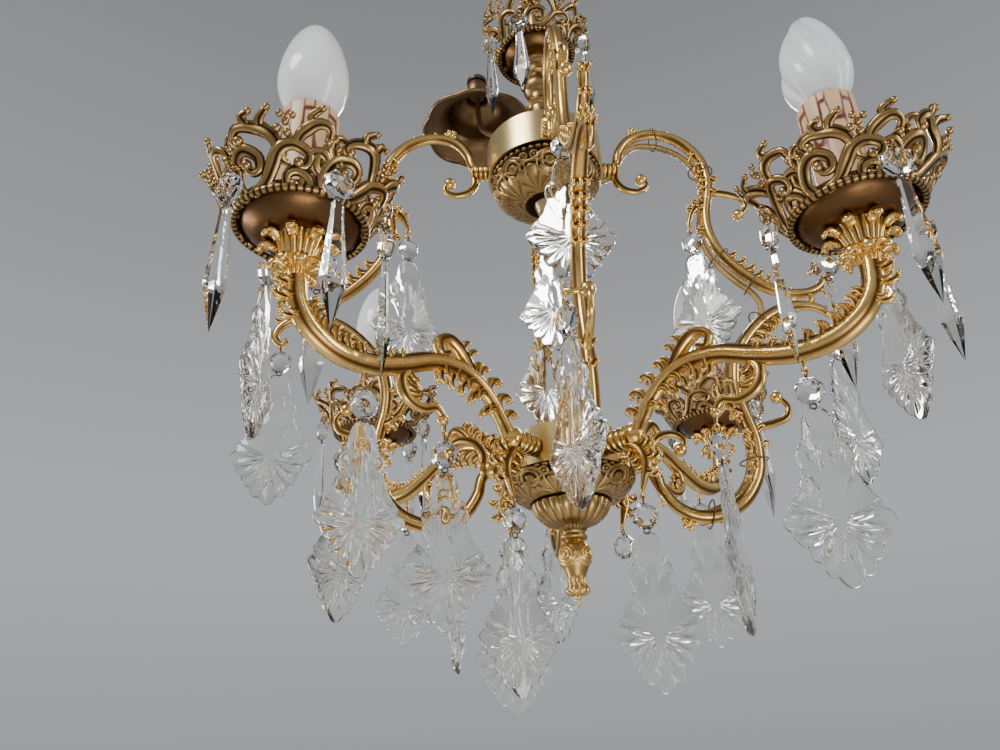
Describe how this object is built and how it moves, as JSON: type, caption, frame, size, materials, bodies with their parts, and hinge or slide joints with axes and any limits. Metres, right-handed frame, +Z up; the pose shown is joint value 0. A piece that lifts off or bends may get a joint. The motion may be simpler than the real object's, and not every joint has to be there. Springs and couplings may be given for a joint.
{
  "type": "multi arm chandelier",
  "caption": "Cast-brass cage chandelier with candle arms on scroll castings, drip pans and galleries, candle bulbs, and swinging cut-glass pendants.",
  "frame": {"origin": "centre of the hanging loop's bore, above everything the chandelier hangs from it", "axes": "+Z up along the stem, +X towards the right rib and +Y towards the back rib; the candle arms stand at 45 degrees between them"},
  "size_m": [0.3816, 0.3508, 0.5449],
  "materials": {
    "crystal": "clear cut glass, slightly warm",
    "bulb_glass": "opal white candle bulb",
    "candle_plastic": "cream candle sleeve with brown drip outlines",
    "lampholder_plastic": "dark moulded holder",
    "flex": "gold transparent flex",
    "lead": "brown flex",
    "tie_wire": "thin darkened wire",
    "antique_brass": "antique brass with dark patina",
    "satin_brass": "satin turned brass",
    "plain_brass": "plain turned brass",
    "polished_brass": "polished cast brass with brown patina in the recesses"
  },
  "bodies": {
    "frame": {"candle_arm_1": "polished_brass", "candle_arm_2": "polished_brass", "candle_arm_3": "polished_brass", "candle_arm_4": "polished_brass", "candle_sleeves": "candle_plastic", "crown_dish": "antique_brass", "crown_gallery": "antique_brass", "dome_nut": "antique_brass", "drip_dishes": "antique_brass", "finial": "polished_brass", "flex_ties": "tie_wire", "hanging_loop": "plain_brass", "lampholders": "lampholder_plastic", "lower_hub_cap": "polished_brass", "lower_hub_cup": "satin_brass", "lower_hub_dome": "antique_brass", "pan_galleries": "antique_brass", "rib_back": "polished_brass", "rib_flex": "flex", "rib_front": "polished_brass", "rib_left": "polished_brass", "rib_right": "polished_brass", "rib_rivets": "plain_brass", "root_nuts": "plain_brass", "small_prisms": "crystal", "stem_baluster": "polished_brass", "stem_tube": "plain_brass", "supply_lead": "lead", "tie_rod": "plain_brass", "upper_hub_cup": "satin_brass", "upper_hub_dome": "antique_brass"},
    "bulb_1": {"bulb_1": "bulb_glass"},
    "bulb_2": {"bulb_2": "bulb_glass"},
    "bulb_3": {"bulb_3": "bulb_glass"},
    "bulb_4": {"bulb_4": "bulb_glass"},
    "pendant_arm_inner_back_left": {"pendant_arm_inner_back_left": "crystal"},
    "pendant_arm_inner_front_left": {"pendant_arm_inner_front_left": "crystal"},
    "pendant_arm_inner_front_right": {"pendant_arm_inner_front_right": "crystal"},
    "pendant_arm_outer_back_left": {"pendant_arm_outer_back_left": "crystal"},
    "pendant_arm_outer_back_right": {"pendant_arm_outer_back_right": "crystal"},
    "pendant_arm_outer_front_left": {"pendant_arm_outer_front_left": "crystal"},
    "pendant_arm_outer_front_right": {"pendant_arm_outer_front_right": "crystal"},
    "pendant_arm_root_back_left": {"pendant_arm_root_back_left": "crystal"},
    "pendant_arm_root_front_left": {"pendant_arm_root_front_left": "crystal"},
    "pendant_arm_root_front_right": {"pendant_arm_root_front_right": "crystal"},
    "pendant_hub_dome": {"pendant_hub_dome": "crystal"},
    "pendant_pan_left": {"pendant_pan_left": "crystal"},
    "pendant_pan_right": {"pendant_pan_right": "crystal"},
    "pendant_rib_ball_back": {"pendant_rib_ball_back": "crystal"},
    "pendant_rib_ball_left": {"pendant_rib_ball_left": "crystal"},
    "pendant_rib_inner_back": {"pendant_rib_inner_back": "crystal"},
    "pendant_rib_inner_front": {"pendant_rib_inner_front": "crystal"},
    "pendant_rib_inner_left": {"pendant_rib_inner_left": "crystal"},
    "pendant_rib_inner_right": {"pendant_rib_inner_right": "crystal"},
    "pendant_rib_low_front": {"pendant_rib_low_front": "crystal"},
    "pendant_rib_tip_left": {"pendant_rib_tip_left": "crystal"},
    "pendant_rib_tip_right": {"pendant_rib_tip_right": "crystal"},
    "canopy": {"ceiling_canopy": "antique_brass", "canopy_cord_grip": "lampholder_plastic"}
  },
  "joints": [
    {"name": "bulb_1_turn", "type": "hinge", "parent": "frame", "child": "bulb_1", "pos_m": [0.12799, 0.12799, -0.28], "axis": [0, 0, 1], "range_deg": [0, 720]},
    {"name": "bulb_2_turn", "type": "hinge", "parent": "frame", "child": "bulb_2", "pos_m": [-0.12799, 0.12799, -0.28], "axis": [0, 0, 1], "range_deg": [0, 720]},
    {"name": "bulb_3_turn", "type": "hinge", "parent": "frame", "child": "bulb_3", "pos_m": [-0.12799, -0.12799, -0.28], "axis": [0, 0, 1], "range_deg": [0, 720]},
    {"name": "bulb_4_turn", "type": "hinge", "parent": "frame", "child": "bulb_4", "pos_m": [0.12799, -0.12799, -0.28], "axis": [0, 0, 1], "range_deg": [0, 720]},
    {"name": "swing_arm_inner_back_left", "type": "hinge", "parent": "frame", "child": "pendant_arm_inner_back_left", "pos_m": [-0.06647, 0.06647, -0.41], "axis": [-0.7071, -0.7071, 0], "range_deg": [-7, 7]},
    {"name": "swing_arm_inner_front_left", "type": "hinge", "parent": "frame", "child": "pendant_arm_inner_front_left", "pos_m": [-0.06647, -0.06647, -0.41], "axis": [0.7071, -0.7071, 0], "range_deg": [-7, 7]},
    {"name": "swing_arm_inner_front_right", "type": "hinge", "parent": "frame", "child": "pendant_arm_inner_front_right", "pos_m": [0.06647, -0.06647, -0.41], "axis": [0.7071, 0.7071, 0], "range_deg": [-7, 7]},
    {"name": "swing_arm_outer_back_left", "type": "hinge", "parent": "frame", "child": "pendant_arm_outer_back_left", "pos_m": [-0.10041, 0.10041, -0.397], "axis": [-0.7071, -0.7071, 0], "range_deg": [-8, 8]},
    {"name": "swing_arm_outer_back_right", "type": "hinge", "parent": "frame", "child": "pendant_arm_outer_back_right", "pos_m": [0.10041, 0.10041, -0.397], "axis": [-0.7071, 0.7071, 0], "range_deg": [-8, 8]},
    {"name": "swing_arm_outer_front_left", "type": "hinge", "parent": "frame", "child": "pendant_arm_outer_front_left", "pos_m": [-0.10041, -0.10041, -0.397], "axis": [0.7071, -0.7071, 0], "range_deg": [-8, 8]},
    {"name": "swing_arm_outer_front_right", "type": "hinge", "parent": "frame", "child": "pendant_arm_outer_front_right", "pos_m": [0.10041, -0.10041, -0.397], "axis": [0.7071, 0.7071, 0], "range_deg": [-8, 8]},
    {"name": "swing_arm_root_back_left", "type": "hinge", "parent": "frame", "child": "pendant_arm_root_back_left", "pos_m": [-0.03323, 0.03323, -0.434], "axis": [-0.7071, -0.7071, 0], "range_deg": [-6, 6]},
    {"name": "swing_arm_root_front_left", "type": "hinge", "parent": "frame", "child": "pendant_arm_root_front_left", "pos_m": [-0.03323, -0.03323, -0.434], "axis": [0.7071, -0.7071, 0], "range_deg": [-6, 6]},
    {"name": "swing_arm_root_front_right", "type": "hinge", "parent": "frame", "child": "pendant_arm_root_front_right", "pos_m": [0.03323, -0.03323, -0.434], "axis": [0.7071, 0.7071, 0], "range_deg": [-6, 6]},
    {"name": "swing_hub_dome", "type": "hinge", "parent": "frame", "child": "pendant_hub_dome", "pos_m": [0, 0, -0.2331], "axis": [0, 1, 0], "range_deg": [-8, 8]},
    {"name": "swing_pan_left", "type": "hinge", "parent": "frame", "child": "pendant_pan_left", "pos_m": [-0.15091, -0.09644, -0.323], "axis": [-0.809, -0.5878, 0], "range_deg": [-6, 6]},
    {"name": "swing_pan_right", "type": "hinge", "parent": "frame", "child": "pendant_pan_right", "pos_m": [0.15091, -0.09644, -0.323], "axis": [-0.809, 0.5878, 0], "range_deg": [-6, 6]},
    {"name": "swing_rib_ball_back", "type": "hinge", "parent": "frame", "child": "pendant_rib_ball_back", "pos_m": [0, 0.127, -0.388], "axis": [-1, 0, 0], "range_deg": [-7, 7]},
    {"name": "swing_rib_ball_left", "type": "hinge", "parent": "frame", "child": "pendant_rib_ball_left", "pos_m": [-0.127, 0, -0.388], "axis": [0, -1, 0], "range_deg": [-7, 7]},
    {"name": "swing_rib_inner_back", "type": "hinge", "parent": "frame", "child": "pendant_rib_inner_back", "pos_m": [0, 0.0925, -0.245], "axis": [-1, 0, 0], "range_deg": [-2, 5]},
    {"name": "swing_rib_inner_front", "type": "hinge", "parent": "frame", "child": "pendant_rib_inner_front", "pos_m": [0, -0.0925, -0.245], "axis": [1, 0, 0], "range_deg": [-2, 5]},
    {"name": "swing_rib_inner_left", "type": "hinge", "parent": "frame", "child": "pendant_rib_inner_left", "pos_m": [-0.0925, 0, -0.245], "axis": [0, -1, 0], "range_deg": [-2, 5]},
    {"name": "swing_rib_inner_right", "type": "hinge", "parent": "frame", "child": "pendant_rib_inner_right", "pos_m": [0.0925, 0, -0.245], "axis": [0, 1, 0], "range_deg": [-2, 5]},
    {"name": "swing_rib_low_front", "type": "hinge", "parent": "frame", "child": "pendant_rib_low_front", "pos_m": [-0.01044, -0.12697, -0.372], "axis": [0.9966, -0.0819, 0], "range_deg": [-7, 7]},
    {"name": "swing_rib_tip_left", "type": "hinge", "parent": "frame", "child": "pendant_rib_tip_left", "pos_m": [-0.168, 0, -0.324], "axis": [0, -1, 0], "range_deg": [-7, 7]},
    {"name": "swing_rib_tip_right", "type": "hinge", "parent": "frame", "child": "pendant_rib_tip_right", "pos_m": [0.168, 0, -0.324], "axis": [0, 1, 0], "range_deg": [-7, 7]},
    {"name": "canopy_turn", "type": "hinge", "parent": "frame", "child": "canopy", "pos_m": [-0.044, 0.05, -0.074], "axis": [0, 0, 1], "range_deg": [-180, 180]}
  ]
}
